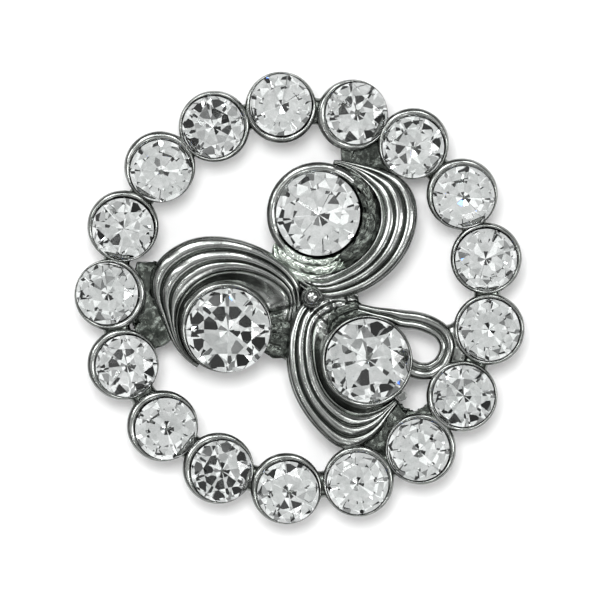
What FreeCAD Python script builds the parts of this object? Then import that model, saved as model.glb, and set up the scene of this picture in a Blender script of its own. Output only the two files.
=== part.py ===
"""Rhinestone pinwheel brooch, about 38 mm across.

A cast ring of seventeen small stone cups surrounds three grooved petals. Each petal wraps a
larger stone cup, and the three meet under a riveted bead. A hinged pin and a rotating safety
catch are soldered behind two opposite cups of the ring.

Frame: millimetres, +Z out of the front face. The origin is the middle of the brooch's outline,
on the plane that its lowest back fitting touches when the brooch lies face up.
"""
import FreeCAD, Part
import math
import os

V = FreeCAD.Vector
UP = V(0, 0, 1)

# Driving dimensions -----------------------------------------------------------------------
BACK = 3.75               # height of the castings' back plane above the table plane
GLUE = 0.04               # room left round a stone for its adhesive
FACE_GAP = 0.02           # room between two castings that meet along a curved wall

RING_STONE_R = 2.62       # chaton of 5.25 mm
BIG_STONE_R = 3.56        # chaton of 7.1 mm

RING_COUNT = 17
RING_RADIUS = 16.22
RING_CENTRE = (-0.08, 0.10)
RING_FIRST_ANGLE = 95.6   # degrees, counter-clockwise from +X
CUP_R = 2.93
CUP_HEIGHT = 2.7
CUP_LIP = 0.24            # thickness of the cup's rim
CUP_RECESS = 0.55         # depth of the cylindrical mouth above the conical seat
NECK_WIDTH = 1.7
NECK_HEIGHT = 1.9

BIG_CUP_HEIGHT = 3.3
BIG_CUP_LIP = 0.3

# Hand-set irregularity of the ring: (degrees round the ring, mm outwards) for each cup, and
# the way each stone was glued off centre in its cup (mm right, mm up).
CUP_NUDGE = [
    (0.0, 0.1), (-0.5, 0.0), (0.4, 0.1), (0.6, 0.2), (1.2, 0.0), (1.0, 0.1), (0.4, -0.1),
    (1.4, 0.2), (1.6, 0.1), (1.0, 0.0), (0.6, -0.2), (0.3, -0.3), (-1.0, -0.2), (-1.4, -0.1),
    (-1.4, 0.0), (-1.2, 0.1), (-0.4, 0.1),
]
STONE_SHIFT = [
    (0.0, 0.2), (0.35, 0.15), (0.0, -0.3), (0.15, -0.25), (0.0, -0.1), (0.0, -0.05), (0.15, 0.0),
    (-0.15, -0.1), (-0.05, -0.2), (0.15, -0.3), (0.3, -0.25), (0.3, -0.25), (0.3, -0.15),
    (-0.25, 0.1), (0.0, -0.25), (0.1, -0.35), (-0.1, -0.05),
]

# The three stone cups of the pinwheel: centre and outer radius.
CUP_PLACES = {
    "left": ((-6.33, -2.34), 3.88),
    "top": ((1.53, 7.27), 4.40),
    "right": ((5.61, -5.23), 3.92),
}
BIG_STONE_PLACES = {
    "left": ((-6.15, -2.62), 0.0),
    "top": ((1.50, 7.27), 0.0),
    "right": ((5.73, -5.17), 3.0),
}

# Each petal is given by stations round its own cup: angle in degrees, outer radius, radius of
# the inner edge of the grooved band, and crest height above the back plane. The first stations
# of each petal are the low saddle that runs from the cup to the next petal.
PETAL_STATIONS = {
    "left": [
        (-29, 6.0, 4.9, 1.7), (-8, 6.1, 5.0, 1.9), (12, 6.4, 5.3, 2.3), (24, 7.1, 5.9, 3.1),
        (40, 7.35, 5.65, 3.4), (62, 7.3, 5.1, 3.7), (86, 7.5, 4.75, 3.9), (106, 7.95, 4.6, 3.9),
        (126, 8.1, 4.5, 3.8), (140, 7.95, 4.45, 3.6), (154, 7.15, 4.4, 3.3),
        (167, 5.85, 4.3, 2.9), (182, 5.05, 4.2, 2.5), (208, 4.5, 4.1, 2.1), (234, 4.2, 4.0, 1.8),
    ],
    "top": [
        (-136, 5.0, 4.7, 1.8), (-120, 5.7, 5.0, 2.0), (-104, 6.6, 5.4, 2.4),
        (-90, 7.2, 5.8, 3.1), (-72, 7.4, 5.45, 3.5), (-52, 7.65, 5.4, 3.8), (-30, 8.05, 5.5, 3.9),
        (-8, 8.35, 5.6, 3.9), (10, 8.3, 5.5, 3.7), (22, 7.75, 5.3, 3.5), (34, 6.75, 5.0, 3.2),
        (48, 5.65, 4.8, 2.8), (62, 5.1, 4.65, 2.5), (74, 4.75, 4.55, 2.2),
    ],
    "right": [
        (97, 5.6, 4.6, 1.7), (110, 6.6, 4.9, 2.0), (124, 7.4, 5.2, 2.4), (142, 7.45, 5.4, 3.1),
        (158, 7.1, 4.9, 3.5), (180, 6.75, 4.45, 3.8), (204, 6.75, 4.4, 3.9), (226, 6.95, 4.5, 3.9),
        (244, 7.45, 4.6, 3.8), (256, 7.75, 4.65, 3.6), (269, 7.05, 4.6, 3.3),
        (282, 5.9, 4.4, 2.9), (294, 4.9, 4.2, 2.5), (308, 4.4, 4.1, 2.1),
    ],
}
SADDLE_STATIONS = 3       # how many of the first stations belong to the saddle
STATION_STEPS = 3         # sections lofted from one station to the next
SADDLE_CREST = 1.8        # a section no higher than this is a plain saddle, without grooves
SHOULDER = 1.0            # how far the outermost ridge rolls down to the petal's outer wall
NEXT_PETAL = {"left": "right", "top": "left", "right": "top"}
RING_CUPS_TOUCHED = {"left": (), "top": (3,), "right": (9,)}
RIDGES = 3
GROOVE_DEPTH = 0.5

HUB = (0.98, 0.21)        # the bead that rivets the three petals together
HUB_DISC_R = 2.6
HUB_DISC_HEIGHT = 0.8
BEAD_R = 0.72
COLLAR_R = 0.95
RIVET_R = 0.4
BEAD_SEAT = 3.2           # height of the collar's underside above the back plane

PLATE_LOW = 0.5           # height of the joining plates' undersides above the back plane

# Pin, hinge and safety catch. They are drawn along +X from the hinge and then laid across the
# brooch, from behind the cup at nine o'clock to behind the cup just below three o'clock.
PIN_START = (-15.9, -0.06)
PIN_ANGLE = -4.85
PIN_DROP = 2.2            # the pin's axis below the back plane
PIN_R = 0.4
PIN_STRAIGHT_FROM = 1.9
PIN_STRAIGHT_TO = 27.1
PIN_TIP = 34.3
PIN_TIP_R = 0.06
EYE_R = 1.0
EYE_WIDTH = 1.3
EAR_GAP = 1.4
EAR_THICK = 0.6
EAR_R = 1.15
RUNNING = 0.05            # radial clearance of the two turning fits
HINGE_PIN_R = 0.4
CATCH_AT = 31.75          # middle of the catch, from the hinge
CATCH_LENGTH = 3.0
CATCH_R = 1.55
ROTOR_R = 1.05
ROTOR_BORE_R = 0.55
CATCH_MOUTH = 0.95
LEVER_REACH = 2.1
LEVER_WIDTH = 0.7
LEVER_ANGLE = -40.0


# Helpers ----------------------------------------------------------------------------------
def turned(profile, place=(0, 0), base=BACK):
    """Solid of revolution about a vertical axis, from (radius, height) points."""
    points = [V(r, 0, z) for r, z in profile]
    wire = Part.makePolygon(points + [points[0]])
    solid = Part.Face(wire).revolve(V(0, 0, 0), UP, 360)
    solid.translate(V(place[0], place[1], base))
    return solid


def plate(outline, low, high):
    """Flat plate with straight sides, between two heights above the back plane."""
    points = [V(x, y, BACK + low) for x, y in outline]
    face = Part.Face(Part.makePolygon(points + [points[0]]))
    return face.extrude(V(0, 0, high - low))


def curved_plate(outline, low, high):
    """Plate whose outline is one smooth closed curve through the given points."""
    curve = Part.BSplineCurve()
    curve.interpolate([V(x, y, BACK + low) for x, y in outline], PeriodicFlag=True)
    face = Part.Face(Part.Wire([curve.toShape()]))
    return face.extrude(V(0, 0, high - low))


def post(radius, low, high, place):
    """Vertical round post between two heights above the back plane."""
    return Part.makeCylinder(radius, high - low, V(place[0], place[1], BACK + low), UP)


def on_circle(centre, radius, angle):
    """Point at an angle in degrees on a circle in the plan."""
    turn = math.radians(angle)
    return (centre[0] + radius * math.cos(turn), centre[1] + radius * math.sin(turn))


def chaton(radius, place, girdle, room=0.0, tilt=0.0):
    """Cut stone: flat table, sloping crown, thin girdle and pointed pavilion."""
    wide = radius + room
    crown = 0.33 * radius
    band = 0.07 * radius
    depth = 0.84 * radius
    profile = [
        (0, -depth - room), (wide, -room), (wide, band + room),
        (0.60 * radius + room, band + crown + room), (0, band + crown + room),
    ]
    solid = turned(profile, place, BACK + girdle)
    if tilt:
        solid.rotate(V(place[0], place[1], BACK + girdle), V(1, 0, 0), tilt)
    return solid


# The ring ---------------------------------------------------------------------------------
def ring_places():
    """Centres of the seventeen cups, clockwise from the top."""
    places = []
    for index, (turn, out) in enumerate(CUP_NUDGE):
        angle = RING_FIRST_ANGLE - index * 360.0 / RING_COUNT + turn
        places.append(on_circle(RING_CENTRE, RING_RADIUS + out, angle))
    return places


def ring_stone(index, room=0.0):
    """Stone of one ring cup, shifted the way it was glued."""
    centre = ring_places()[index]
    shift = STONE_SHIFT[index]
    place = (centre[0] + shift[0], centre[1] + shift[1])
    return chaton(RING_STONE_R, place, CUP_HEIGHT - 0.08, room)


def ring_cup(place):
    """Blank of one cup, with a rounded foot and a slightly flared wall."""
    return turned([
        (0, 0), (2.35, 0), (2.62, 0.25), (2.76, 1.0), (CUP_R, CUP_HEIGHT - 0.3),
        (CUP_R, CUP_HEIGHT - 0.08), (CUP_R - 0.08, CUP_HEIGHT), (0, CUP_HEIGHT),
    ], place)


def cup_mouth(place):
    """Open mouth of one cup, above its seat."""
    return post(CUP_R - CUP_LIP, CUP_HEIGHT - CUP_RECESS, CUP_HEIGHT + 1, place)


def neck(first, second):
    """Short web that joins two neighbouring cups."""
    middle = V((first[0] + second[0]) / 2, (first[1] + second[1]) / 2, 0)
    run = V(second[0] - first[0], second[1] - first[1], 0)
    solid = Part.makeBox(1.6, NECK_WIDTH, NECK_HEIGHT, V(-0.8, -NECK_WIDTH / 2, BACK + 0.25))
    solid.rotate(V(0, 0, 0), UP, math.degrees(math.atan2(run.y, run.x)))
    solid.translate(middle)
    return solid


def make_ring():
    """One casting: seventeen cups joined by necks, with a seat cut for each stone."""
    places = ring_places()
    blanks = [ring_cup(place) for place in places]
    for index in range(RING_COUNT):
        blanks.append(neck(places[index], places[(index + 1) % RING_COUNT]))
    body = blanks[0].multiFuse(blanks[1:])
    cuts = [cup_mouth(place) for place in places]
    cuts += [ring_stone(index, GLUE) for index in range(RING_COUNT)]
    return body.cut(cuts)


# The pinwheel -----------------------------------------------------------------------------
def petal_section(name, station):
    """Closed wire across a petal, in the radial plane of one station."""
    centre, cup_r = CUP_PLACES[name]
    angle, outer, inner, crest = station
    wide = outer - inner
    raised = min(1.0, max(0.0, (crest - SADDLE_CREST) / 0.8))
    depth = GROOVE_DEPTH * min(raised, wide / 2.2)
    floor = crest - 0.25 - 0.6 * raised
    top = [(cup_r - 0.05, min(floor, 2.4)), ((cup_r + inner) / 2, min(floor + 0.1, 2.6))]
    for ridge in range(RIDGES):
        fall = 0.12 * ridge * raised
        top.append((inner + wide * ridge / RIDGES, crest - fall - depth))
        top.append((inner + wide * (ridge + 0.5) / RIDGES, crest - fall))
    top.append((outer, crest - raised * SHOULDER))
    turn = math.radians(angle)
    across = V(math.cos(turn), math.sin(turn), 0)
    foot = V(centre[0], centre[1], BACK)
    points = [foot + across * r + UP * z for r, z in top]
    curve = Part.BSplineCurve()
    curve.interpolate(points)
    inner_foot = foot + across * (cup_r - 0.05)
    outer_foot = foot + across * (outer - 0.1)
    return Part.Wire([
        Part.makeLine(inner_foot, points[0]), curve.toShape(),
        Part.makeLine(points[-1], outer_foot), Part.makeLine(outer_foot, inner_foot),
    ])


def between(before, start, end, after, t):
    """Smooth value between two stations (a Catmull-Rom curve)."""
    bend = 2 * before - 5 * start + 4 * end - after
    sharp = 3 * (start - end) + after - before
    return start + 0.5 * t * (end - before + t * (bend + t * sharp))


def fine_stations(name):
    """The petal's stations with smooth ones added between them."""
    rows = PETAL_STATIONS[name]
    rows = [rows[0]] + rows + [rows[-1]]
    fine = []
    for index in range(1, len(rows) - 2):
        for step in range(STATION_STEPS):
            t = step / STATION_STEPS
            fine.append([between(*values, t) for values in zip(*rows[index - 1:index + 3])])
    return fine + [rows[-1]]


def petal_blank(name):
    """Grooved comma lofted round its cup, saddle included."""
    sections = [petal_section(name, station) for station in fine_stations(name)]
    return Part.makeLoft(sections, True, True)


def petal_prism(name, room):
    """Straight-sided block over the plan of a petal's grooved band, grown by the given room."""
    centre = CUP_PLACES[name][0]
    stations = PETAL_STATIONS[name][SADDLE_STATIONS:]
    first, last = stations[0], stations[-1]
    edge = [on_circle(centre, first[1] + room, first[0] - 7)]
    edge += [on_circle(centre, outer + room, angle) for angle, outer, _, _ in stations]
    curve = Part.BSplineCurve()
    curve.interpolate([V(x, y, BACK - 1) for x, y in edge])
    end = V(*edge[-1], BACK - 1)
    start = V(*edge[0], BACK - 1)
    middle = V(centre[0], centre[1], BACK - 1)
    wire = Part.Wire([curve.toShape(), Part.makeLine(end, middle), Part.makeLine(middle, start)])
    return Part.Face(wire).extrude(V(0, 0, 8))


def hub_room():
    """Space kept for the bead's collar, its shank and the disc behind the petals."""
    disc = post(HUB_DISC_R, -1, HUB_DISC_HEIGHT, (0, 0))
    collar = post(COLLAR_R, BEAD_SEAT, BEAD_SEAT + 3, HUB)
    shank = post(RIVET_R, 0, BEAD_SEAT + 1, HUB)
    return [disc, collar, shank]


def cup_room(numbers):
    """Space kept for ring cups, by number from 1."""
    places = ring_places()
    return [post(CUP_R + FACE_GAP, -1, 8, places[number - 1]) for number in numbers]


def make_petal(name):
    """One petal casting, fitted round its cup, against the next petal and over the hub."""
    centre, cup_r = CUP_PLACES[name]
    cuts = [post(cup_r, -1, 8, centre), petal_prism(NEXT_PETAL[name], FACE_GAP)]
    return petal_blank(name).cut(cuts + cup_room(RING_CUPS_TOUCHED[name]) + hub_room())


def make_cup(name):
    """Bezel cup of a large stone, with a rolled lip."""
    centre, cup_r = CUP_PLACES[name]
    blank = turned([
        (0, 0), (cup_r - 0.35, 0), (cup_r, 0.35), (cup_r, BIG_CUP_HEIGHT - 0.22),
        (cup_r - 0.12, BIG_CUP_HEIGHT), (0, BIG_CUP_HEIGHT),
    ], centre)
    mouth_r = max(BIG_STONE_R + 0.05, cup_r - BIG_CUP_LIP - 0.5)
    mouth = post(min(mouth_r, cup_r - BIG_CUP_LIP), BIG_CUP_HEIGHT - 0.7, 8, centre)
    return blank.cut([mouth, big_stone(name, GLUE)] + hub_room())


def big_stone(name, room=0.0):
    """Large stone of one pinwheel cup."""
    place, tilt = BIG_STONE_PLACES[name]
    return chaton(BIG_STONE_R, place, BIG_CUP_HEIGHT - 0.1, room, tilt)


def make_hub_disc():
    """Backing disc that the petals are riveted to."""
    disc = post(HUB_DISC_R, 0, HUB_DISC_HEIGHT, (0, 0))
    return disc.cut(post(RIVET_R, -1, 2, HUB))


def make_hub_bead():
    """Rivet with a collar and a ball head."""
    ball = Part.makeSphere(BEAD_R, V(HUB[0], HUB[1], BACK + BEAD_SEAT + 0.95))
    collar = turned([
        (0, 0), (COLLAR_R, 0), (COLLAR_R, 0.25), (COLLAR_R - 0.2, 0.45), (0, 0.6),
    ], HUB, BACK + BEAD_SEAT)
    shank = post(RIVET_R, 0, BEAD_SEAT + 0.2, HUB)
    return shank.fuse([collar, ball])


# Plates and wire that tie the pinwheel to the ring -------------------------------------------
def clear_of(solid, cups=(), petals=(), rims=()):
    """Trim a plate back from ring cups (by number), petals and large cups."""
    places = ring_places()
    cuts = cup_room(cups)
    cuts += [neck(places[number - 1], places[number - 2]) for number in cups]
    cuts += [petal_prism(name, FACE_GAP) for name in petals]
    cuts += [petal_blank(name) for name in petals]
    cuts += [post(CUP_PLACES[name][1] + FACE_GAP, -1, 8, CUP_PLACES[name][0]) for name in rims]
    trimmed = solid.cut(cuts)
    return max(trimmed.Solids, key=lambda piece: piece.Volume)


def make_tab_left():
    outline = [
        (-13.9, 3.2), (-11.9, 3.2), (-11.5, -0.1), (-10.4, -3.0), (-11.6, -3.9), (-12.8, -4.2),
        (-13.9, -3.3), (-14.6, -0.5),
    ]
    return clear_of(plate(outline, PLATE_LOW, 2.0), cups=(13, 14, 15), petals=("left",))


def make_tab_top():
    outline = [(3.4, 13.4), (7.3, 13.4), (8.1, 11.0), (7.2, 9.0), (3.6, 10.6)]
    return clear_of(plate(outline, PLATE_LOW, 2.0), cups=(2, 3), petals=("top",))


def make_tab_bottom():
    outline = [(3.0, -12.0), (1.8, -13.8), (2.7, -14.6), (7.4, -14.6), (8.0, -10.9), (7.0, -10.0)]
    return clear_of(plate(outline, PLATE_LOW, 2.0), cups=(8, 9), petals=("right",))


def make_bridge():
    """Small curved strip under the second opening, from the right petal to two ring cups."""
    outline = [
        (7.2, -8.9), (8.2, -8.5), (8.8, -9.3), (9.8, -9.5), (10.9, -8.8), (11.4, -9.7),
        (8.5, -10.7), (7.4, -10.9),
    ]
    solid = plate(outline, PLATE_LOW + 0.3, 2.2)
    return clear_of(solid, cups=(7, 8), petals=("right",), rims=("right",)).cut(make_tab_bottom())


def make_loop():
    """Hairpin of wire beside the right cup, flattened, with a teardrop opening."""
    outer = [
        (5.0, -2.4), (4.6, -0.4), (6.8, -0.75), (8.9, -1.0), (10.8, -1.5), (12.15, -2.3),
        (12.75, -3.4), (12.6, -4.5), (11.9, -5.4), (11.3, -6.4), (10.2, -6.65), (9.0, -6.4),
        (7.2, -5.0),
    ]
    inner = [
        (8.4, -2.65), (9.5, -2.6), (10.6, -2.85), (11.4, -3.4), (11.75, -4.1), (11.5, -4.85),
        (10.8, -5.3), (10.0, -5.15), (9.4, -4.5), (8.9, -3.5),
    ]
    solid = curved_plate(outer, 1.1, 2.7).cut(curved_plate(inner, 0, 4))
    trimmed = clear_of(solid, cups=(6, 7), rims=("right",))
    return trimmed.cut(petal_saddle("right"))


def petal_saddle(name):
    """Straight-sided block over a petal's saddle, used to trim what lies beside it."""
    centre = CUP_PLACES[name][0]
    stations = PETAL_STATIONS[name][:SADDLE_STATIONS + 1]
    edge = [on_circle(centre, outer + 0.1, angle - 3) for angle, outer, _, _ in stations]
    return plate([centre] + edge, -1, 8)


def make_shoulder():
    """Small round prong soldered to the right cup, over the bridge."""
    return clear_of(post(0.42, 1.2, 3.0, (8.6, -8.2)), rims=("right",)).cut(make_bridge())


# Pin hardware -----------------------------------------------------------------------------
def lay(solid):
    """Move a piece drawn along +X, about the pin's own axis, to its place on the brooch."""
    solid.rotate(V(0, 0, 0), UP, PIN_ANGLE)
    solid.translate(V(PIN_START[0], PIN_START[1], BACK - PIN_DROP))
    return solid


def across(radius, low, high, along=0.0):
    """Cylinder along Y at a distance from the hinge."""
    return Part.makeCylinder(radius, high - low, V(along, low, 0), V(0, 1, 0))


def make_hinge_base():
    """Soldered foot with two ears that carry the hinge pin."""
    half = EAR_GAP / 2
    foot = Part.makeBox(3.0, 2 * (half + EAR_THICK), 0.5, V(-1.5, -half - EAR_THICK, PIN_DROP - 0.5))
    solids = [foot]
    for low in (-half - EAR_THICK, half):
        solids.append(across(EAR_R, low, low + EAR_THICK))
        solids.append(Part.makeBox(2 * EAR_R, EAR_THICK, PIN_DROP - 0.4, V(-EAR_R, low, 0)))
    body = solids[0].multiFuse(solids[1:])
    return lay(body.cut(across(HINGE_PIN_R, -3, 3)))


def make_hinge_pin():
    """Rivet through both ears."""
    half = EAR_GAP / 2 + EAR_THICK
    shank = across(HINGE_PIN_R, -half, half)
    heads = [across(0.6, half, half + 0.2), across(0.6, -half - 0.2, -half)]
    return lay(shank.fuse(heads))


def make_pin_stem():
    """Eye, conical root, straight stem and ground point."""
    eye = across(EYE_R, -EYE_WIDTH / 2, EYE_WIDTH / 2)
    along = V(1, 0, 0)
    root = Part.makeCone(0.55, PIN_R, PIN_STRAIGHT_FROM - 0.6, V(0.6, 0, 0), along)
    straight = PIN_STRAIGHT_TO - PIN_STRAIGHT_FROM
    stem = Part.makeCylinder(PIN_R, straight, V(PIN_STRAIGHT_FROM, 0, 0), along)
    taper = Part.makeCone(PIN_R, PIN_TIP_R, PIN_TIP - PIN_STRAIGHT_TO, V(PIN_STRAIGHT_TO, 0, 0), along)
    body = eye.fuse([root, stem, taper])
    return lay(body.cut(across(HINGE_PIN_R + RUNNING, -3, 3)))


def along_x(radius, length):
    """Cylinder along X, centred on the catch."""
    return Part.makeCylinder(radius, length, V(CATCH_AT - length / 2, 0, 0), V(1, 0, 0))


def mouth_slot(width, depth):
    """Slot from the catch's axis downwards, away from the brooch."""
    return Part.makeBox(8, width, depth, V(CATCH_AT - 4, -width / 2, -depth))


def sector(from_angle, to_angle, radius, width):
    """Wedge about the catch's axis, used to cut the lever's window."""
    points = [V(CATCH_AT - width / 2, 0, 0)]
    steps = 8
    for step in range(steps + 1):
        turn = math.radians(from_angle + (to_angle - from_angle) * step / steps)
        points.append(V(CATCH_AT - width / 2, radius * math.cos(turn), radius * math.sin(turn)))
    return Part.Face(Part.makePolygon(points + [points[0]])).extrude(V(width, 0, 0))


def make_catch_base():
    """Soldered C-shaped housing with a window for the lever."""
    tube = along_x(CATCH_R, CATCH_LENGTH)
    foot = Part.makeBox(CATCH_LENGTH, 2.4, PIN_DROP - 0.9, V(CATCH_AT - CATCH_LENGTH / 2, -1.2, 0.9))
    window = sector(-62, 66, 3.2, LEVER_WIDTH + 0.3)
    cuts = [along_x(ROTOR_R + RUNNING, 6), mouth_slot(CATCH_MOUTH + 0.1, 3), window]
    return lay(tube.fuse(foot).cut(cuts))


def make_catch_rotor():
    """Slotted sleeve with a lever, turning inside the housing."""
    sleeve = along_x(ROTOR_R, CATCH_LENGTH - 0.1)
    lever = Part.makeBox(LEVER_WIDTH, LEVER_REACH - 0.8, 0.5, V(CATCH_AT - LEVER_WIDTH / 2, 0.8, -0.25))
    lever.rotate(V(CATCH_AT, 0, 0), V(1, 0, 0), LEVER_ANGLE)
    return lay(sleeve.fuse(lever).cut([along_x(ROTOR_BORE_R, 6), mouth_slot(CATCH_MOUTH, 3)]))


# Everything -------------------------------------------------------------------------------
def make_all():
    """Every piece of the brooch, by name."""
    pieces = {"ring_frame": make_ring()}
    for index in range(RING_COUNT):
        pieces["ring_stone_%02d" % (index + 1)] = ring_stone(index)
    for name in CUP_PLACES:
        pieces["petal_" + name] = make_petal(name)
        pieces["cup_" + name] = make_cup(name)
        pieces["stone_" + name] = big_stone(name)
    pieces["hub_disc"] = make_hub_disc()
    pieces["hub_bead"] = make_hub_bead()
    pieces["wire_loop"] = make_loop()
    pieces["tab_left"] = make_tab_left()
    pieces["tab_top"] = make_tab_top()
    pieces["tab_bottom"] = make_tab_bottom()
    pieces["bridge_strip"] = make_bridge()
    pieces["side_prong"] = make_shoulder()
    pieces["hinge_base"] = make_hinge_base()
    pieces["hinge_pin"] = make_hinge_pin()
    pieces["pin_stem"] = make_pin_stem()
    pieces["catch_base"] = make_catch_base()
    pieces["catch_rotor"] = make_catch_rotor()
    return pieces


os.makedirs("parts", exist_ok=True)
for node, shape in make_all().items():
    box = shape.BoundBox
    state = "ok" if shape.isValid() and len(shape.Solids) == 1 else "CHECK"
    print("%-16s solids %d volume %8.3f z %.2f..%.2f %s" % (
        node, len(shape.Solids), shape.Volume, box.ZMin, box.ZMax, state))
    shape.exportStep("parts/%s.step" % node)
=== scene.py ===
"""Looks of the rhinestone pinwheel brooch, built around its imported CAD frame, in metres."""
import math
import random

import bmesh
import bpy
from mathutils import Matrix, Vector, noise


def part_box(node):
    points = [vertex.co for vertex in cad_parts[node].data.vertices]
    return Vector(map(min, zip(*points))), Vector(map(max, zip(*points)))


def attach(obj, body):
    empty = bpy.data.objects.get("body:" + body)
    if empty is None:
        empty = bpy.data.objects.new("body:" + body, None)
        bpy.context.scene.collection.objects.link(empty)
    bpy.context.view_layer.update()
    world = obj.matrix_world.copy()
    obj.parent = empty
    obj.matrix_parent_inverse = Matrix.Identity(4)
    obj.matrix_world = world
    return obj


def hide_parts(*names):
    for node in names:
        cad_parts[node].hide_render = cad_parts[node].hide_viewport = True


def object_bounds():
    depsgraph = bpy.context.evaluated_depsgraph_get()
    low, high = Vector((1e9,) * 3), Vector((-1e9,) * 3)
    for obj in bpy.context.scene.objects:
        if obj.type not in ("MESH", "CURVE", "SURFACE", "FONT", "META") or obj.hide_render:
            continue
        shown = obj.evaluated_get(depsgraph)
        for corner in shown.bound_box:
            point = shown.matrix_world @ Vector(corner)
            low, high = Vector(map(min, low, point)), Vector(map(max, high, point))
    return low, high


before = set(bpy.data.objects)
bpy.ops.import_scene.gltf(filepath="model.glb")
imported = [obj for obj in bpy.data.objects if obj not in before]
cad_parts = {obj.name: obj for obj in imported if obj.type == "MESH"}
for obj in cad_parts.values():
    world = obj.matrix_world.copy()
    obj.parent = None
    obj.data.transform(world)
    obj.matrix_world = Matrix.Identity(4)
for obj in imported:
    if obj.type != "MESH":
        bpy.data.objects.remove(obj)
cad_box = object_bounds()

MM = 0.001
BODY = "brooch_body"
PETALS = ("left", "top", "right")
RING_COUNT = 17
RING_STONES = ["ring_stone_%02d" % (number + 1) for number in range(RING_COUNT)]

# Sizes below are in millimetres and angles in degrees. Heights are above the castings' back
# plane, which lies at BACK.
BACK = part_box("ring_frame")[0][2] / MM

# Stones. Each eighth of a stone has one broad and one narrow wedge under it.
FACETS = 8                # sides of the table
FACET_STEPS = 20          # girdle points along one eighth
HALF_FACET = FACET_STEPS // 2
BROAD_STEPS = 15          # how many of them belong to the broad wedge
GIRDLE_STEPS = FACETS * FACET_STEPS
TABLE_SHARE = 0.61        # the table's corners, the crown's middle corners, and the depths of
KITE_SHARE = 0.86         # pavilion, girdle and crown, as shares of the stone's radius
PAVILION = 0.84
GIRDLE = 0.07
CROWN = 0.33
LEAN_LIMIT = 2.5          # how far a stone may lean in its cup
RIGHT_STONE_LEAN = 3.0
STONE_SEED = 7

# Ring: an even circle of cups, and each cup's own error (degrees round it, millimetres out).
RING_CENTRE = (-0.08, 0.10)
RING_RADIUS = 16.22
RING_FIRST_ANGLE = 95.6
CUP_NUDGE = [
    (0.0, 0.1), (-0.5, 0.0), (0.4, 0.1), (0.6, 0.2), (1.2, 0.0), (1.0, 0.1), (0.4, -0.1),
    (1.4, 0.2), (1.6, 0.1), (1.0, 0.0), (0.6, -0.2), (0.3, -0.3), (-1.0, -0.2), (-1.4, -0.1),
    (-1.4, 0.0), (-1.2, 0.1), (-0.4, 0.1),
]

# Cups
CUP_R = 3.03
CUP_HEIGHT = 2.7
CUP_FOOT = 0.45           # how far the foot stands in from the rim
BIG_CUP_HEIGHT = 3.3
BIG_CUP_FOOT = 0.3
TOP_CUP_DIP = (-45, 118, 1.0)    # where its rim stands lower: middle, half width, depth
RIM_SHARES = [step / 10 for step in range(1, 10)]
SEAT_SHARES = [0.0, 0.15, 0.3, 0.45, 0.6, 0.75, 0.9, 0.98]
GLUE = 0.03               # room between a stone's girdle and its rim
THIN_RIM = 0.10           # least thickness of a rim
RIM_ROLL = 0.20           # greatest rise of a rim's rolled top
RIM_START = 0.12          # how far below the cup's height its rim begins
SEAT_START = 0.2          # how far below it the seat begins
SEAT_ROOM = 0.08          # room under a stone's point
SEAT_GAP = 0.05           # room under its girdle

# Necks between cups
NECK_HALF_LENGTH = 0.75
NECK_HALF_WIDTH = 1.15    # at the waist
NECK_FLARE = 0.40         # how much wider each half is at the ends
NECK_HALF_HEIGHT = 1.02
NECK_SWELL = 0.10
NECK_AXIS = 1.35          # height of the neck's middle
NECK_SQUARENESS = 0.7     # 1 is an ellipse, less is squarer
NECK_STEPS = 8            # sections from the waist to each end, and points round each
NECK_AROUND = 28

# Each petal by stations round its own cup: angle, outer radius, inner edge of the grooved band,
# crest height. The first three stations are its low saddle.
PETAL_STATIONS = {
    "left": [
        (-29, 6.0, 4.9, 1.7), (-8, 6.1, 5.0, 1.9), (12, 6.4, 5.3, 2.3), (24, 7.1, 5.9, 3.1),
        (40, 7.35, 5.65, 3.4), (62, 7.3, 5.1, 3.7), (86, 7.5, 4.75, 3.9), (106, 7.95, 4.6, 3.9),
        (126, 8.1, 4.5, 3.8), (140, 7.95, 4.45, 3.6), (154, 7.15, 4.4, 3.3),
        (167, 5.85, 4.3, 2.9), (182, 5.05, 4.2, 2.5), (208, 4.5, 4.1, 2.1), (234, 4.2, 4.0, 1.8),
    ],
    "top": [
        (-136, 5.0, 4.7, 1.8), (-120, 5.7, 5.0, 2.0), (-104, 6.6, 5.4, 2.4),
        (-90, 7.2, 5.8, 3.1), (-72, 7.4, 5.45, 3.5), (-52, 7.65, 5.4, 3.8), (-30, 8.05, 5.5, 3.9),
        (-8, 8.35, 5.6, 3.9), (10, 8.3, 5.5, 3.7), (22, 7.75, 5.3, 3.5), (34, 6.75, 5.0, 3.2),
        (48, 5.65, 4.8, 2.8), (62, 5.1, 4.65, 2.5), (74, 4.75, 4.55, 2.2),
    ],
    "right": [
        (97, 5.6, 4.6, 1.7), (110, 6.6, 4.9, 2.0), (124, 7.4, 5.2, 2.4), (142, 7.45, 5.4, 3.1),
        (158, 7.1, 4.9, 3.5), (180, 6.75, 4.45, 3.8), (204, 6.75, 4.4, 3.9), (226, 6.95, 4.5, 3.9),
        (244, 7.45, 4.6, 3.8), (256, 7.75, 4.65, 3.6), (269, 7.05, 4.6, 3.3),
        (282, 5.9, 4.4, 2.9), (294, 4.9, 4.2, 2.5), (308, 4.4, 4.1, 2.1),
    ],
}
SADDLE_STATIONS = 3
SADDLE_CREST = 1.8        # a crest no higher than this has no grooves
GROOVE_RISE = 0.8         # how much higher than that the grooves have their full depth
GROOVE_DEPTH = 0.50
RIDGES = 3
RIDGE_ROUND = 0.36        # the part of a groove's depth that the ridge's round top takes up
RIDGE_WALL = 0.7          # where a ridge's steep side begins, from its crest to the groove
RIDGE_FALL = 0.36         # how much lower the band's outer edge lies
INNER_LEDGE = 0.30        # how much lower the innermost ridge begins
BAND_SHARE = 0.96         # how much of the band the ridges fill, before its edge rolls down
FULL_WIDTH = 2.2          # a band narrower than this has shallower grooves
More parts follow.
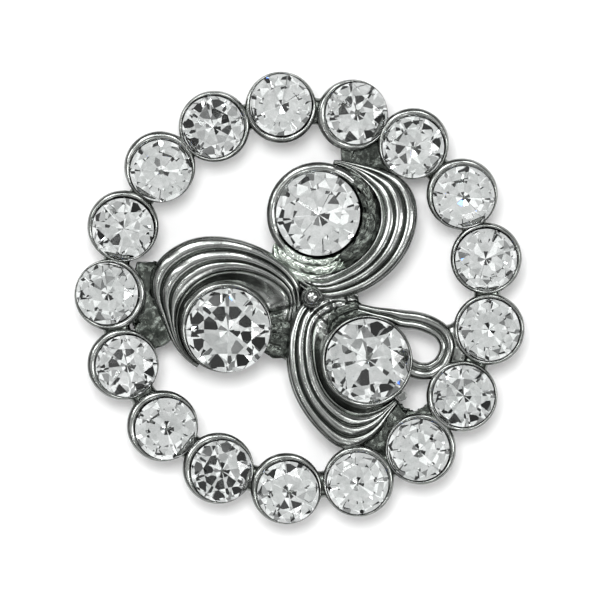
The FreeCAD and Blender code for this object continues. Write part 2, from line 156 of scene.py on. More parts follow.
FLOOR_DROP = 0.25         # how far the floor beside the cup lies below a saddle's crest,
FLOOR_SINK = 0.6          # how much further below full ridges,
FLOOR_LIMIT = 2.4         # and its greatest height
EDGE_DROP = 0.45          # how far the outer edge of full ridges rolls down
EDGE_LEAST = 0.1
RIPPLE_HEIGHT = 0.32      # the saddle's low bands
RIPPLE_ANGLE = 14.5
STATION_STEPS = 12        # sections from one station to the next
STATION_BLEND = 7         # how many sections either side each one is averaged with
FLOOR_STEPS = 10          # points across the floor, the ridges and the edge
RIDGE_STEPS = 42
EDGE_STEPS = 6

# Webs round the cups: petal, angles, inner and outer radius, height, rolls, lumps. The rolls
# run round the cup, or outwards from it if their number is negative.
APRONS = {
    "web_top": ("top", (-146, -62), 3.72, 6.0, 2.75, 3, 0.10),
    "bowl_top": ("top", (-74, 62), 3.72, 5.45, 2.75, 1, 0.16),
    "web_left": ("left", (-34, 18), 3.8, 6.1, 2.35, -4, 0.06),
    "web_right": ("right", (90, 140), 3.85, 5.3, 2.5, 2, 0.10),
}
APRON_STEPS = 48          # sections round the cup
APRON_ACROSS = 30         # points across each
APRON_SLOPE = 0.35
APRON_ROLL = 0.15
APRON_THICK = 1.3
APRON_LUMP = 0.55         # size of its lumps

# Bead: a ball riveted over a collar.
RIVET_R = 0.4
COLLAR_R = 0.92
BALL_R = 0.80

# Centre line of the hairpin of doubled wire: right, up, width of the pair.
LOOP_PATH = [
    (4.9, -0.70, 0.8), (6.25, -1.05, 0.9), (7.57, -1.32, 1.15), (8.63, -1.62, 1.5),
    (9.82, -1.78, 1.55), (10.92, -2.12, 1.55), (12.0, -2.8, 1.5), (12.5, -3.95, 1.4),
    (12.15, -5.2, 1.4), (11.3, -5.95, 1.45), (10.4, -6.12, 1.5), (9.6, -5.9, 1.5),
    (8.7, -5.3, 1.5), (8.0, -4.6, 1.4),
]
LOOP_JOINTS = [           # points either side of its joints with two of the ring cups
    ((11.0, -3.6), (14.6, -2.9)), ((11.6, -4.3), (14.9, -4.9)),
]
LOOP_STATION_STEPS = 8    # sections from one point of the path to the next
LOOP_STEPS = 40           # points across the pair
LOOP_TOP = 2.7            # height of the outer wire's crest
LOOP_LOWER = 0.12         # how much lower the inner wire lies
LOOP_FOOT = 1.1
LOOP_SIDE = 0.7           # how far each wire rolls down on the pair's outside
LOOP_GROOVE = 0.34        # depth of the groove between the two wires
LOOP_SPLIT = 0.58         # where the groove runs across the pair, from its outer side

# Camera and studio
CAMERA_HEIGHT = 600
VIEW_CENTRE = (-0.0425, -0.0425)
RIM_LEVEL = 6.5           # height of the rims above the table
VIEW_SPAN = 51.0          # width of the view at that height
SENSOR = 36
CARD_HALF = 400
CARD_GAP = 0.02
LAMP_DISTANCE = 0.5       # metres
ALL_RAYS = ("diffuse", "glossy", "transmission")
WHITE = (1, 1, 1)

# Lamps: azimuth, elevation, size in metres, watts, colour, and the kinds of ray that see it.
LAMPS = {
    "key": (105, 82, (0.12, 0.10), 1.7, WHITE, ("diffuse",)),
    "window_a": (118, 52, (0.11, 0.32), 0.95, WHITE, ("glossy",)),
    "window_b": (73, 52, (0.08, 0.26), 0.60, WHITE, ("glossy",)),
    "window_c": (4, 50, (0.10, 0.30), 0.80, WHITE, ("glossy",)),
    "window_d": (154, 55, (0.06, 0.30), 0.50, WHITE, ("glossy",)),
    "low_strip": (-70, 45, (0.04, 0.20), 0.15, WHITE, ("glossy",)),
    "spark_top": (100, 66, (0.035, 0.035), 0.09, (0.92, 0.96, 1.0), ALL_RAYS),
    "spark_left": (205, 64, (0.03, 0.03), 0.07, WHITE, ALL_RAYS),
    "spark_right": (-30, 60, (0.035, 0.035), 0.07, WHITE, ALL_RAYS),
    "blue_spark": (60, 66, (0.022, 0.022), 0.012, (0.03, 0.16, 1.0), ("transmission",)),
}

# The white tent round the brooch, from straight above (0) to level (1), with a dark hole for
# the lens, and the shades of its panels.
TENT_STOPS = [
    (0.0, 0.05), (0.03, 0.06), (0.045, 1.12), (0.55, 1.05), (0.64, 0.30), (0.78, 0.16),
    (1.0, 0.45),
]
PANEL_STOPS = [
    (0.0, 0.03), (0.29, 0.05), (0.31, 0.25), (0.40, 0.50), (0.42, 0.72), (0.58, 0.86),
    (0.60, 1.06), (0.80, 1.2), (1.0, 1.55),
]
PANEL_SCALE = 5.0


# Small helpers ----------------------------------------------------------------------------
def centre_of(node):
    """Middle of a CAD node in the plan, and half its width, in millimetres."""
    low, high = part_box(node)
    x = (low[0] + high[0]) / 2 / MM
    y = (low[1] + high[1]) / 2 / MM
    return x, y, (high[0] - low[0]) / 2 / MM


def new_object(name, mesh, material=None, body=BODY, node=None, smooth=True):
    """Link a mesh object, give it its material, hang it on its body and hide the CAD node it takes
    the place of.
    """
    piece = bpy.data.objects.new(name, mesh)
    bpy.context.scene.collection.objects.link(piece)
    if material:
        mesh.materials.append(material)
    for face in mesh.polygons:
        face.use_smooth = smooth
    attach(piece, body)
    if node:
        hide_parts(node)
    return piece


def mesh_from(name, bm):
    """Turn a bmesh in millimetres into a mesh in metres with outward normals."""
    bmesh.ops.recalc_face_normals(bm, faces=bm.faces)
    bmesh.ops.scale(bm, vec=(MM, MM, MM), verts=bm.verts)
    mesh = bpy.data.meshes.new(name)
    bm.to_mesh(mesh)
    bm.free()
    return mesh


def skin(bm, rows):
    """Faces between neighbouring closed rows of vertices."""
    for first, second in zip(rows, rows[1:]):
        for index in range(len(first)):
            following = (index + 1) % len(first)
            bm.faces.new((first[index], first[following], second[following], second[index]))


def cap(bm, rows):
    """Faces that close both ends of a tube."""
    bm.faces.new(list(reversed(rows[0])))
    bm.faces.new(rows[-1])


def loft(bm, rings):
    """Skin closed rings of points into a tube, capped at both ends."""
    rows = [[bm.verts.new(point) for point in ring] for ring in rings]
    skin(bm, rows)
    cap(bm, rows)


def smooth_value(before, start, end, after, t):
    """Catmull-Rom value between two stations."""
    bend = 2 * before - 5 * start + 4 * end - after
    sharp = 3 * (start - end) + after - before
    return start + 0.5 * t * (end - before + t * (bend + t * sharp))


def refine(rows, steps):
    """Rows of numbers with smooth rows added between them."""
    ends = [rows[0]] + list(rows) + [rows[-1]]
    fine = []
    for index in range(1, len(ends) - 2):
        for step in range(steps):
            t = step / steps
            fine.append([smooth_value(*four, t) for four in zip(*ends[index - 1:index + 3])])
    return fine + [list(rows[-1])]


def averaged(rows, reach):
    """Rows of numbers, each the mean of its neighbours, with the ends kept."""
    mild = []
    for index in range(len(rows)):
        span = min(reach, index, len(rows) - 1 - index)
        near = rows[index - span:index + span + 1]
        mild.append([sum(column) / len(near) for column in zip(*near)])
    return mild


# Materials --------------------------------------------------------------------------------
class Nodes:
    """Short way to add and join the shader nodes of a material or a world."""

    def __init__(self, owner, space="Object"):
        owner.use_nodes = True
        self.owner = owner
        self.tree = owner.node_tree
        self.coords = self.add("ShaderNodeTexCoord").outputs[space]

    def add(self, kind, **values):
        node = self.tree.nodes.new(kind)
        for key, value in values.items():
            setattr(node, key, value)
        return node

    def join(self, output, node, name):
        self.tree.links.new(output, node.inputs[name])

    def noise(self, wave_mm, detail=3.0, rough=0.55):
        node = self.add("ShaderNodeTexNoise")
        self.join(self.coords, node, "Vector")
        node.inputs["Scale"].default_value = 1.0 / (wave_mm * MM)
        node.inputs["Detail"].default_value = detail
        node.inputs["Roughness"].default_value = rough
        return node.outputs["Fac"]

    def ramp(self, factor, stops):
        node = self.add("ShaderNodeValToRGB")
        ramp = node.color_ramp
        ramp.elements[0].position, ramp.elements[0].color = stops[0][0], (*stops[0][1], 1)
        ramp.elements[1].position, ramp.elements[1].color = stops[-1][0], (*stops[-1][1], 1)
        for place, colour in stops[1:-1]:
            ramp.elements.new(place).color = (*colour, 1)
        self.join(factor, node, "Fac")
        return node.outputs["Color"]

    def span(self, factor, low, high):
        node = self.add("ShaderNodeMapRange")
        self.join(factor, node, "Value")
        node.inputs["To Min"].default_value = low
        node.inputs["To Max"].default_value = high
        return node.outputs["Result"]

    def times(self, first, second):
        node = self.add("ShaderNodeMix", data_type="RGBA", blend_type="MULTIPLY")
        node.inputs["Factor"].default_value = 1.0
        self.tree.links.new(first, node.inputs["A"])
        self.tree.links.new(second, node.inputs["B"])
        return node.outputs["Result"]

    def bump(self, height, depth_mm, before=None):
        node = self.add("ShaderNodeBump")
        node.inputs["Strength"].default_value = 1.0
        node.inputs["Distance"].default_value = depth_mm * MM
        self.join(height, node, "Height")
        if before:
            self.join(before, node, "Normal")
        return node.outputs["Normal"]

    # Ambient occlusion: how shut in a point is; the plating below darkens by it, as painted shade in
    # crevices.
    def crevice(self, reach_mm):
        node = self.add("ShaderNodeAmbientOcclusion", samples=6, only_local=True)
        node.inputs["Distance"].default_value = reach_mm * MM
        return node.outputs["AO"]


def surface(name):
    """Nodes of a new material, and its shader."""
    n = Nodes(bpy.data.materials.new(name))
    return n, n.tree.nodes["Principled BSDF"]


def greys(stops):
    """Colour stops from stops of (place, brightness)."""
    return [(place, (tone, tone, tone)) for place, tone in stops]


def plated(name, dark, light, wavy=0.02, pitted=0.0, rough=(0.12, 0.26)):
    """Polished dark plating over a casting: tone drift, painted shade in crevices, soft waviness."""
    n, shader = surface(name)
    tone = n.ramp(n.noise(2.4), [(0.3, dark), (0.7, light)])
    # Painted shade: the base colour is darkened, with a trace of green, where the surface is shut in
    # by nearby parts.
    painted_crevice_shade = n.ramp(n.crevice(0.9), [
        (0.0, (0.10, 0.115, 0.10)), (0.45, (0.45, 0.48, 0.45)), (0.9, (1, 1, 1)),
    ])
    n.join(n.times(tone, painted_crevice_shade), shader, "Base Color")
    shader.inputs["Metallic"].default_value = 1.0
    n.join(n.span(n.noise(0.5, 4.0), *rough), shader, "Roughness")
    normal = n.bump(n.noise(0.9, 2.0), wavy)
    if pitted:
        normal = n.bump(n.noise(0.16, 4.0, 0.7), pitted, normal)
    n.join(normal, shader, "Normal")
    return n.owner


def crown_glass():
    """Clear lead glass with a trace of green."""
    n, shader = surface("crown_glass")
    tint = n.ramp(n.noise(1.8), [(0.35, (0.962, 0.974, 0.968)), (0.65, (0.992, 0.996, 0.994))])
    n.join(tint, shader, "Base Color")
    shader.inputs["Transmission Weight"].default_value = 1.0
    shader.inputs["IOR"].default_value = 1.56
    shader.inputs["Roughness"].default_value = 0.0
    return n.owner


def foil():
    """Silver foil behind a stone's pavilion, slightly uneven."""
    n, shader = surface("stone_foil")
    tone = n.ramp(n.noise(1.1), [(0.3, (0.79, 0.805, 0.80)), (0.7, (0.92, 0.925, 0.925))])
    n.join(tone, shader, "Base Color")
    shader.inputs["Metallic"].default_value = 1.0
    n.join(n.span(n.noise(0.4), 0.0, 0.02), shader, "Roughness")
    return n.owner


def steel():
    """Drawn wire, slightly uneven in tone and polish."""
    n, shader = surface("steel_wire")
    tone = n.ramp(n.noise(0.8), [(0.3, (0.52, 0.52, 0.53)), (0.7, (0.66, 0.66, 0.67))])
    n.join(tone, shader, "Base Color")
    shader.inputs["Metallic"].default_value = 1.0
    n.join(n.span(n.noise(0.25, 4.0), 0.16, 0.32), shader, "Roughness")
    n.join(n.bump(n.noise(0.12, 3.0), 0.004), shader, "Normal")
    return n.owner


def studio_white():
    """Matt white card that glows a little, as a lit background does."""
    n, shader = surface("studio_white")
    tone = n.ramp(n.noise(40.0), greys([(0.3, 0.90), (0.7, 0.92)]))
    n.join(tone, shader, "Base Color")
    shader.inputs["Roughness"].default_value = 0.85
    shader.inputs["Specular IOR Level"].default_value = 0.1
    shader.inputs["Emission Color"].default_value = (1, 1, 1, 1)
    shader.inputs["Emission Strength"].default_value = 0.12
    return n.owner


# Stones -----------------------------------------------------------------------------------
def height_on(points, x, y):
    """Height at (x, y) on the plane through three points."""
    first, second, third = [Vector(point) for point in points]
    normal = (second - first).cross(third - first)
    return first.z - (normal.x * (x - first.x) + normal.y * (y - first.y)) / normal.z


def round_point(radius, step, z=0.0):
    """Point on a circle by its step round the girdle."""
    turn = step * 2 * math.pi / GIRDLE_STEPS
    return radius * math.cos(turn), radius * math.sin(turn), z


def crown_corners(bm, radius):
    """Corners of a stone's table, and those where its kites meet its triangles."""
    table_z = (GIRDLE + CROWN) * radius
    band_z = GIRDLE * radius
    table_r = TABLE_SHARE * radius
    middle_r = KITE_SHARE * radius
    share = (middle_r * math.cos(math.pi / FACETS) - table_r) / (radius - table_r)
    middle_z = table_z - share * (table_z - band_z)
    table = [bm.verts.new(round_point(table_r, k * FACET_STEPS, table_z)) for k in range(FACETS)]
    middle = [bm.verts.new(round_point(middle_r, k * FACET_STEPS + HALF_FACET, middle_z))
              for k in range(FACETS)]
    return table, middle


def girdle_edges(bm, radius, middle, slip):
    """A stone's girdle: its upper and lower edge, where the facets cut the round rim."""
    band_z = GIRDLE * radius
    upper = []
    under = []
    for step in range(GIRDLE_STEPS):
        x, y, _ = round_point(radius, step)
        start = step // HALF_FACET * HALF_FACET
        crown = [middle[step // FACET_STEPS].co, round_point(radius, start, band_z),
                 round_point(radius, start + HALF_FACET, band_z)]
        upper.append(bm.verts.new((x, y, height_on(crown, x, y))))
        inside = (step - slip) % FACET_STEPS
        broad = inside < BROAD_STEPS
        first = step - inside + (0 if broad else BROAD_STEPS)
        last = step - inside + (BROAD_STEPS if broad else FACET_STEPS)
        wedge = [(0, 0, -PAVILION * radius), round_point(radius, first), round_point(radius, last)]
        under.append(bm.verts.new((x, y, height_on(wedge, x, y))))
    return upper, under


def cut_stone(name, radius, place, girdle, turn, lean, slip):
    """Foiled chaton: eight-sided table and kite crown over broad and narrow pavilion wedges."""
    bm = bmesh.new()
    table, middle = crown_corners(bm, radius)
    upper, under = girdle_edges(bm, radius, middle, slip)
    culet = bm.verts.new((0, 0, -PAVILION * radius))
    bm.faces.new(table)
    for k in range(FACETS):
        start = FACET_STEPS * k
        half = start + HALF_FACET
        bm.faces.new((table[k], table[(k + 1) % FACETS], middle[k]))
        bm.faces.new((table[k], middle[k], upper[start], middle[k - 1]))
        bm.faces.new([middle[k]] + upper[start:half + 1])
        far = upper[half:start + FACET_STEPS] + [upper[(start + FACET_STEPS) % GIRDLE_STEPS]]
        bm.faces.new([middle[k]] + far)
        for first, last in ((0, BROAD_STEPS), (BROAD_STEPS, FACET_STEPS)):
            arc = [under[(start + slip + step) % GIRDLE_STEPS] for step in range(first, last + 1)]
            bm.faces.new([culet] + arc).material_index = 1
    skin(bm, [under, upper])
    move = Matrix.Translation((place[0], place[1], girdle))
    tip = Matrix.Rotation(lean[0], 4, "X") @ Matrix.Rotation(lean[1], 4, "Y")
    spin = Matrix.Rotation(turn, 4, "Z")
    bmesh.ops.transform(bm, matrix=move @ tip @ spin, verts=bm.verts)
    return mesh_from(name, bm)


def stone_seats():
    """Where each stone sits: centre, radius and girdle height, in millimetres, by node."""
    seats = {}
    for node in RING_STONES + ["stone_" + name for name in PETALS]:
        x, y, radius = centre_of(node)
        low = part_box(node)[0][2] / MM
        seats[node] = (x, y, radius, low + PAVILION * radius)
    return seats


def build_stones(glass, mirror):
    """Twenty stones, each turned and very slightly tipped its own way."""
    chance = random.Random(STONE_SEED)
    for node, (x, y, radius, girdle) in SEATS.items():
        lean = [math.radians(chance.uniform(-LEAN_LIMIT, LEAN_LIMIT)) for _ in range(2)]
        if node == "stone_right":
            lean = [math.radians(RIGHT_STONE_LEAN), 0.0]
        turn = chance.uniform(0, 2 * math.pi / FACETS)
        slip = chance.randrange(FACET_STEPS)
        mesh = cut_stone(node + "_cut", radius, (x, y), girdle, turn, lean, slip)
        mesh.materials.append(glass)
        mesh.materials.append(mirror)
        new_object(node + "_cut", mesh, node=node, smooth=False)


# Cups -------------------------------------------------------------------------------------
def lathe(bm, profile, place, count=72):
    """Closed solid of revolution from (radius, height) points, both ends on the axis."""
    rings = []
    for radius, height in profile[1:-1]:
        rings.append([
            bm.verts.new((place[0] + radius * math.cos(k * 2 * math.pi / count),
                          place[1] + radius * math.sin(k * 2 * math.pi / count),
                          BACK + height))
            for k in range(count)
        ])
    skin(bm, rings)
    for ring, (_, height) in ((rings[0], profile[0]), (rings[-1], profile[-1])):
        tip = bm.verts.new((place[0], place[1], BACK + height))
        for k in range(count):
            bm.faces.new((tip, ring[(k + 1) % count], ring[k]))


def dip_at(dip, turn):
    """How much lower a rim stands at one angle. dip is (middle, half width, depth)."""
    middle, half_width, depth = dip
    off = abs((math.degrees(turn) - middle + 180) % 360 - 180) / half_width
    return depth * (0.5 + 0.5 * math.cos(math.pi * min(1.0, off) ** 3))


def cup_line(outer, inner, height, foot, bottom, drop):
    """Section of a cup: up its flared wall, over its rolled rim and down its seat."""
    wall = [(outer - foot - 0.3, 0), (outer - foot, 0.12), (outer - foot + 0.12, 0.35),
            (outer - 0.12, height * 0.42), (outer - 0.02, height * 0.75),
            (outer, height - RIM_START)]
    line = [(radius, z - drop * min(1.0, z / height)) for radius, z in wall]
    thick = outer - inner
    rise = min(RIM_ROLL, thick * 0.45)
    for share in RIM_SHARES:
        roll = math.sin(math.pi * share)
        rim = height - RIM_START + 0.06 * share + rise * roll
        line.append((outer - thick * share, rim - drop))
    lip = height - SEAT_START - drop
    for share in SEAT_SHARES:
        line.append((inner * (1 - share), lip - share * (lip - bottom)))
    return line


def cup_casting(bm, place, outer, height, foot, seat, count=96, dip=None):
    """One stone cup, with its rim dressed in to the stone's girdle wherever the stone sits."""
    stone_x, stone_y, stone_r, girdle = seat
    shift = (place[0] - stone_x, place[1] - stone_y)
    bottom = girdle - BACK - PAVILION * stone_r - SEAT_ROOM
    columns = []
    for k in range(count):
        turn = k * 2 * math.pi / count
        way = (math.cos(turn), math.sin(turn))
        along = shift[0] * way[0] + shift[1] * way[1]
        spare = (stone_r + GLUE) ** 2 - (shift[0] ** 2 + shift[1] ** 2) + along ** 2
        inner = min(-along + math.sqrt(spare), outer - THIN_RIM)
        drop = dip_at(dip, turn) if dip else 0.0
        column = []
        for radius, z in cup_line(outer, inner, height, foot, bottom, drop):
            x = place[0] + radius * way[0]
            y = place[1] + radius * way[1]
            away = math.hypot(x - stone_x, y - stone_y)
            if away < stone_r + 0.02:
                z = min(z, girdle - BACK - SEAT_GAP - max(0.0, stone_r - away) * PAVILION)
            column.append(bm.verts.new((x, y, BACK + z)))
        columns.append(column)
    rings = list(zip(*columns))
    skin(bm, rings)
    cap(bm, rings)


def ring_places():
    """Centres of the seventeen cups: an even ring with each cup's small irregularity."""
    places = []
    for index, (turn, out) in enumerate(CUP_NUDGE):
        angle = math.radians(RING_FIRST_ANGLE - index * 360.0 / RING_COUNT + turn)
        places.append((RING_CENTRE[0] + (RING_RADIUS + out) * math.cos(angle),
                       RING_CENTRE[1] + (RING_RADIUS + out) * math.sin(angle)))
    return places


def squared(share):
    """A cosine or sine pushed towards its extremes, so that the oval it draws is squarer."""
    return math.copysign(abs(share) ** NECK_SQUARENESS, share)


def neck(bm, first, second):
    """Waisted bar between two cups, wide enough at its ends to run into both."""
    a = Vector((*first, 0))
    b = Vector((*second, 0))
    along = (b - a).normalized()
    side = Vector((-along.y, along.x, 0))
    middle = (a + b) / 2 + Vector((0, 0, BACK + NECK_AXIS))
    rings = []
    for step in range(-NECK_STEPS, NECK_STEPS + 1):
        s = step / NECK_STEPS
        half_width = NECK_HALF_WIDTH + NECK_FLARE * s * s
        half_height = NECK_HALF_HEIGHT + NECK_SWELL * s * s
        ring = []
        for k in range(NECK_AROUND):
            turn = k * 2 * math.pi / NECK_AROUND
            y = squared(math.cos(turn)) * half_width
            z = squared(math.sin(turn)) * half_height
            ring.append(middle + along * (s * NECK_HALF_LENGTH) + side * y + Vector((0, 0, z)))
        rings.append(ring)
    loft(bm, rings)


def build_ring(material):
    """The ring casting: cups with their rims dressed round the stones, and necks."""
    bm = bmesh.new()
    places = ring_places()
    for place, node in zip(places, RING_STONES):
        cup_casting(bm, place, CUP_R, CUP_HEIGHT, CUP_FOOT, SEATS[node])
    for index in range(RING_COUNT):
        neck(bm, places[index], places[(index + 1) % RING_COUNT])
    new_object("ring_casting", mesh_from("ring_casting", bm), material,
               node="ring_frame")


def build_big_cups(material):
    """Three bezel cups. Part of the top one's rim stands lower."""
    for name in PETALS:
        x, y, radius = centre_of("cup_" + name)
        bm = bmesh.new()
        dip = TOP_CUP_DIP if name == "top" else None
        seat = SEATS["stone_" + name]
        cup_casting(bm, (x, y), radius, BIG_CUP_HEIGHT, BIG_CUP_FOOT, seat, 144, dip)
        new_object("bezel_" + name, mesh_from("bezel_" + name, bm), material,
                   node="cup_" + name)


# Petals -----------------------------------------------------------------------------------
def ridge_shape(across):
    """Height over one ridge, from 1 on its crest (across = 0) to 0 in the groove (1)."""
    steep = max(0.0, (across - RIDGE_WALL) / (1 - RIDGE_WALL))
    return 1 - RIDGE_ROUND * across ** 2 - (1 - RIDGE_ROUND) * steep ** 1.6


def petal_profile(cup_r, outer, inner, crest):
    """Top line of a petal from its cup to its outer edge, as (radius, height) points."""
    wide = outer - inner
    raised = min(1.0, max(0.0, (crest - SADDLE_CREST) / GROOVE_RISE))
    depth = GROOVE_DEPTH * min(raised, wide / FULL_WIDTH)
    start_r = cup_r - 0.05
    start_z = min(crest - FLOOR_DROP - FLOOR_SINK * raised, FLOOR_LIMIT)
    line = []
    for step in range(FLOOR_STEPS):
        t = step / FLOOR_STEPS
        rise = (t * t * (3 - 2 * t)) ** 1.5
        line.append((start_r + (inner - start_r) * t, start_z + (crest - depth - start_z) * rise))
    for step in range(RIDGE_STEPS + 1):
        t = step / RIDGE_STEPS
        inside = (t * RIDGES) % 1.0 if step < RIDGE_STEPS else 1.0
        hump = ridge_shape(abs(2 * inside - 1))
        fall = RIDGE_FALL * t * raised + INNER_LEDGE * raised * max(0.0, 1 - t * RIDGES)
        line.append((inner + wide * t * BAND_SHARE, crest - depth * (1 - hump) - fall))
    last_r, last_z = line[-1]
    for step in range(1, EDGE_STEPS + 1):
        turn = math.pi / 2 * step / EDGE_STEPS
        line.append((last_r + (wide * (1 - BAND_SHARE) + 0.05) * math.sin(turn),
                     last_z - (EDGE_DROP * raised + EDGE_LEAST) * (1 - math.cos(turn))))
    return line


def rippled(line, angle, saddle_end):
    """The saddle's low bands, which run outward from the cup."""
    fade = min(1.0, (saddle_end - angle) / 8)
    lift = RIPPLE_HEIGHT * fade * abs(math.cos(math.pi * (saddle_end - angle) / RIPPLE_ANGLE)) ** 0.8
    start, end = line[0][0], line[-1][0]
    return [(r, z + lift * math.sin(math.pi * min(1.0, (r - start) / (end - start) + 0.08)))
            for r, z in line]


def build_petal(name, material):
    """Grooved comma swept round its cup, as one closed skin."""
    x, y, cup_r = centre_of("cup_" + name)
    rings = []
    stations = averaged(refine(PETAL_STATIONS[name], STATION_STEPS), STATION_BLEND)
    saddle_end = PETAL_STATIONS[name][SADDLE_STATIONS][0]
    for angle, outer, inner, crest in stations:
        turn = math.radians(angle)
        line = petal_profile(cup_r, outer, inner, crest)
        if angle < saddle_end:
            line = rippled(line, angle, saddle_end)
        foot = [(line[-1][0] - 0.05, 0.15), (line[-1][0] - 0.2, 0.0), (line[0][0], 0.0)]
        rings.append([
            (x + r * math.cos(turn), y + r * math.sin(turn), BACK + z) for r, z in line + foot
        ])
    bm = bmesh.new()
    loft(bm, rings)
    new_object("petal_%s_cast" % name, mesh_from("petal_%s_cast" % name, bm), material,
               node="petal_" + name)


def apron(bm, centre, spread, inner, outer, height, rolls, lumps):
    """Low crescent of a web beside a cup, with a lumpy, rolled top."""
    rings = []
    for index in range(APRON_STEPS + 1):
        share = index / APRON_STEPS
        turn = math.radians(spread[0] + (spread[1] - spread[0]) * share)
        taper = min(1.0, math.sin(math.pi * (0.10 + 0.80 * share)) * 1.35)
        edge = inner + (outer - inner) * taper
        ring = []
        for k in range(APRON_ACROSS + 1):
            t = k / APRON_ACROSS
            r = inner + (edge - inner) * t
            phase = t * rolls if rolls > 0 else share * -rolls
            roll = abs(math.sin(math.pi * phase)) ** 0.8
            spot = Vector((centre[0] + r * math.cos(turn), centre[1] + r * math.sin(turn), 0))
            lump = noise.fractal(spot / APRON_LUMP, 0.7, 2.0, 3)
            spot.z = BACK + height - APRON_SLOPE * t + APRON_ROLL * roll + lumps * lump
            ring.append(spot)
        under = BACK + height - APRON_THICK
        ring += [Vector((p.x, p.y, under)) for p in (ring[-1], ring[APRON_ACROSS // 2], ring[0])]
        rings.append(ring)
    loft(bm, rings)


def build_aprons(lit_metal, shaded_metal):
    """Webs and the bowl between the cups, the hub and the grooved bands; the bowl and side webs
    carry painted shade, the top web painted light.
    """
    for name, (petal, spread, inner, outer, height, rolls, lumps) in APRONS.items():
        x, y, _ = centre_of("cup_" + petal)
        bm = bmesh.new()
        apron(bm, (x, y), spread, inner, outer, height, rolls, lumps)
        # Painted light and shade: the top web gets the paler copy of the plating, the others the
        # near-black one.
        material = lit_metal if name == "web_top" else shaded_metal
        new_object(name, mesh_from(name, bm), material)


# Bead, loop and plates --------------------------------------------------------------------
def build_bead(material):
    """Riveted ball on a small collar."""
    x, y, _ = centre_of("hub_bead")
    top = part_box("hub_bead")[1][2] / MM - BACK
    middle = top - BALL_R
    profile = [(0, 0), (RIVET_R, 0), (RIVET_R, 2.7), (0.78, 2.85), (COLLAR_R, 3.0),
               (COLLAR_R, 3.14), (0.8, 3.24), (0.5, 3.28)]
    profile += [(BALL_R * math.cos(math.radians(a)), middle + BALL_R * math.sin(math.radians(a)))
                for a in range(-51, 90, 9)]
    profile.append((0, top))
    bm = bmesh.new()
    lathe(bm, profile, (x, y), 64)
    new_object("hub_bead_turned", mesh_from("hub_bead_turned", bm), material,
               node="hub_bead")


def loop_height(t):
    """Height of the pair of wires at a share of the way across it, from its outer side."""
    if t < LOOP_SPLIT:
        inside = t / LOOP_SPLIT
        edge_drop = LOOP_SIDE if inside < 0.5 else LOOP_GROOVE
        crest = LOOP_TOP
    else:
        inside = (t - LOOP_SPLIT) / (1 - LOOP_SPLIT)
        edge_drop = LOOP_SIDE if inside > 0.5 else LOOP_GROOVE - LOOP_LOWER
        crest = LOOP_TOP - LOOP_LOWER
    roll = 1 - math.sqrt(max(0.0, 1 - (2 * inside - 1) ** 2))
    return crest - edge_drop * roll


def build_loop(material):
    """Doubled wire bent into a hairpin beside the right cup, and its joints with the ring."""
    path = refine(LOOP_PATH, LOOP_STATION_STEPS)
    rings = []
    for index, (x, y, width) in enumerate(path):
        ahead = path[min(index + 1, len(path) - 1)]
        behind = path[max(index - 1, 0)]
        run = Vector((ahead[0] - behind[0], ahead[1] - behind[1], 0)).normalized()
        side = Vector((-run.y, run.x, 0))
        ring = []
        for k in range(LOOP_STEPS + 1):
            t = k / LOOP_STEPS
            ring.append(Vector((x, y, BACK + loop_height(t))) + side * width * (0.5 - t))
        for t in (0.45, 0.3, 0.0, -0.3, -0.45):
            low = LOOP_FOOT + (0.25 if abs(t) > 0.4 else 0.0)
            ring.append(Vector((x, y, BACK + low)) - side * width * t)
        rings.append(ring)
    bm = bmesh.new()
    loft(bm, rings)
    for inner, outer in LOOP_JOINTS:
        neck(bm, inner, outer)
    new_object("wire_loop_pair", mesh_from("wire_loop_pair", bm), material,
               node="wire_loop")


def soften(node, material, voxel, rounds, body=BODY, lumps=0.0, lump_size=0.9):
    """Copy of a CAD node with its edges worn round, as cast metal has, and a lumpy skin.

    voxel is the size of the cells it is made again from, and rounds is how often it is smoothed.
    """
    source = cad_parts[node]
    draft = bpy.data.objects.new(node + "_draft", source.data.copy())
    bpy.context.scene.collection.objects.link(draft)
    remesh = draft.modifiers.new("remesh", "REMESH")
    remesh.mode = "VOXEL"
    remesh.voxel_size = voxel * MM
    relax = draft.modifiers.new("relax", "SMOOTH")
    relax.factor = 0.5
    relax.iterations = rounds
    bpy.context.view_layer.update()
    worn = draft.evaluated_get(bpy.context.evaluated_depsgraph_get())
    mesh = bpy.data.meshes.new_from_object(worn)
    bpy.data.objects.remove(draft)
    mesh.materials.clear()
    if lumps:
        for vert in mesh.vertices:
            height = noise.fractal(vert.co / (lump_size * MM), 0.7, 2.0, 3)
            vert.co += vert.normal * height * lumps * MM
    return new_object(node + "_worn", mesh, material, body, node)


# Camera, lights and floor -----------------------------------------------------------------
def build_camera():
    """Straight overhead, with a long lens. The view is VIEW_SPAN wide at the cups' rims."""
    data = bpy.data.cameras.new("camera")
    data.sensor_width = SENSOR
    data.lens = SENSOR * (CAMERA_HEIGHT - RIM_LEVEL) / VIEW_SPAN
    camera = bpy.data.objects.new("camera", data)
    camera.location = Vector((*VIEW_CENTRE, CAMERA_HEIGHT)) * MM
    bpy.context.scene.collection.objects.link(camera)
    bpy.context.scene.camera = camera


def softbox(name, azimuth, elevation, size, power, colour, rays):
    """Rectangular lamp aimed at the brooch, seen only by the kinds of ray that rays names."""
    data = bpy.data.lights.new(name, "AREA")
    data.shape = "RECTANGLE"
    data.size, data.size_y = size
    data.energy = power
    data.color = colour
    lamp = bpy.data.objects.new(name, data)
    a, e = math.radians(azimuth), math.radians(elevation)
    way = Vector((math.cos(a) * math.cos(e), math.sin(a) * math.cos(e), math.sin(e)))
    lamp.location = way * LAMP_DISTANCE
    lamp.rotation_euler = way.to_track_quat("Z", "Y").to_euler()
    lamp.visible_diffuse = "diffuse" in rays
    lamp.visible_glossy = "glossy" in rays
    lamp.visible_transmission = "transmission" in rays
    bpy.context.scene.collection.objects.link(lamp)


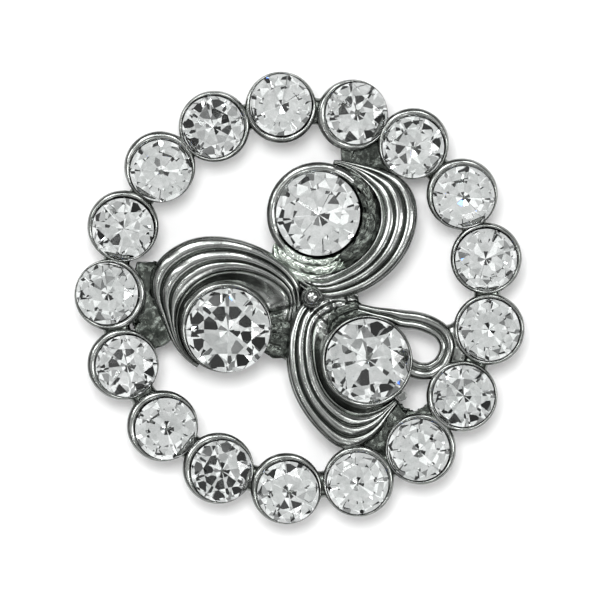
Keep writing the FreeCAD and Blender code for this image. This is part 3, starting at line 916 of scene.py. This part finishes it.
def build_world():
    """White tent with a dark lens hole overhead, uneven panels, and a dim room at the sides."""
    world = bpy.data.worlds.new("studio")
    bpy.context.scene.world = world
    n = Nodes(world, "Generated")
    split = n.add("ShaderNodeSeparateXYZ")
    n.join(n.coords, split, "Vector")
    angle = n.add("ShaderNodeMath", operation="ARCCOSINE")
    n.join(split.outputs["Z"], angle, "Value")
    share = n.add("ShaderNodeMath", operation="DIVIDE")
    share.inputs[1].default_value = math.pi / 2
    n.join(angle.outputs["Value"], share, "Value")
    tent = n.ramp(share.outputs["Value"], greys(TENT_STOPS))
    panels = n.add("ShaderNodeTexVoronoi")
    panels.inputs["Scale"].default_value = PANEL_SCALE
    n.join(n.coords, panels, "Vector")
    shade = n.ramp(panels.outputs["Color"], greys(PANEL_STOPS))
    n.join(n.times(tent, shade), n.tree.nodes["Background"], "Color")


def build_stage():
    """White card on the plane that the brooch's lowest fitting touches."""
    bm = bmesh.new()
    corners = [(-CARD_HALF, -CARD_HALF, 0), (CARD_HALF, -CARD_HALF, 0),
               (CARD_HALF, CARD_HALF, 0), (-CARD_HALF, CARD_HALF, 0)]
    bm.faces.new([bm.verts.new(corner) for corner in corners])
    mesh = mesh_from("white_card", bm)
    mesh.materials.append(studio_white())
    card = bpy.data.objects.new("white_card", mesh)
    card.location.z = cad_box[0][2] - CARD_GAP * MM
    bpy.context.scene.collection.objects.link(card)


# Build everything -------------------------------------------------------------------------
build_camera()
build_world()
build_stage()
for lamp_name, settings in LAMPS.items():
    softbox(lamp_name, *settings)
bpy.context.scene.view_settings.view_transform = "Standard"

SEATS = stone_seats()
casting = plated("dark_plating", (0.19, 0.20, 0.19), (0.33, 0.34, 0.33), 0.022)
# A near-black copy of the same plating for the bowl, the side webs and the low plates: painted
# shade, over their real lumps and rougher polish.
shaded_rough_casting = plated("painted_shade_plating", (0.02, 0.023, 0.02), (0.10, 0.11, 0.10), 0.05, 0.012,
                       (0.12, 0.32))
# A paler copy of the same plating for the top web: painted light.
lit_web_plating = plated("painted_light_web", (0.30, 0.34, 0.30), (0.55, 0.60, 0.55), 0.03, 0.01, (0.12, 0.3))
bright = plated("bright_plating", (0.50, 0.50, 0.50), (0.62, 0.62, 0.62), 0.006)
wire = steel()

build_stones(crown_glass(), foil())
build_ring(casting)
build_big_cups(casting)
for petal in PETALS:
    build_petal(petal, casting)
build_aprons(lit_web_plating, shaded_rough_casting)
build_bead(casting)
build_loop(casting)
# The low plates wear the near-black copy of the plating: painted shade, over their real lumps.
for plate in ("tab_left", "tab_top", "tab_bottom", "bridge_strip"):
    soften(plate, shaded_rough_casting, 0.07, 6, lumps=0.2, lump_size=1.7)
soften("side_prong", casting, 0.05, 8)
soften("hub_disc", casting, 0.09, 4)
for finding in ("hinge_base", "hinge_pin", "catch_base"):
    soften(finding, bright, 0.05, 4)
soften("catch_rotor", bright, 0.045, 3, "catch_rotor")
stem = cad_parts["pin_stem"]
stem.data.materials.clear()
stem.data.materials.append(wire)
